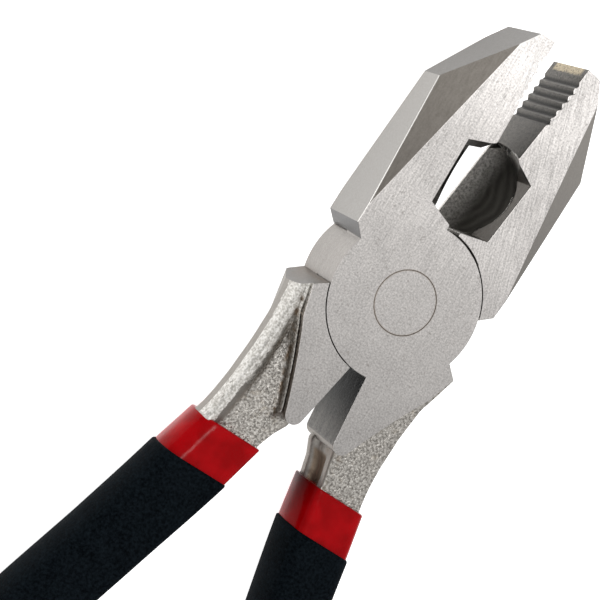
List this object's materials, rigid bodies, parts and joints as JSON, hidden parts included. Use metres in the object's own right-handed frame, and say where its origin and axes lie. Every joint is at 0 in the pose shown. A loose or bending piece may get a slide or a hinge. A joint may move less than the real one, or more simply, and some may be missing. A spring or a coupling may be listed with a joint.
{
  "type": "combination pliers",
  "caption": "Lineman-type pliers with lap joint, toothed gripping jaws, side cutters and two-layer dipped handle grips, shown slightly open.",
  "frame": {"origin": "on the pivot axis, in the plane of the back face that the pliers lie on", "axes": "+Z along the pivot axis and out of the front face, +Y towards the jaw tips, +X to the right seen from the front"},
  "size_m": [0.0894, 0.2267, 0.015],
  "materials": {
    "front_steel": "nickel plated, faces ground flat, handle neck left as forged",
    "back_steel": "nickel plated, faces ground flat, handle neck left as forged",
    "rivet_steel": "ground flush with the joint face",
    "red_vinyl": "glossy dipped vinyl",
    "black_vinyl": "matt textured vinyl"
  },
  "bodies": {
    "back_half": {"back_half": "back_steel", "pivot_rivet": "rivet_steel", "left_grip_undersleeve": "red_vinyl", "left_grip_sleeve": "black_vinyl"},
    "front_half": {"front_half": "front_steel", "right_grip_undersleeve": "red_vinyl", "right_grip_sleeve": "black_vinyl"}
  },
  "joints": [
    {"name": "pivot", "type": "hinge", "parent": "back_half", "child": "front_half", "pos_m": [0, 0, 0.0075], "axis": [0, 0, 1], "range_deg": [-9, 36]}
  ]
}
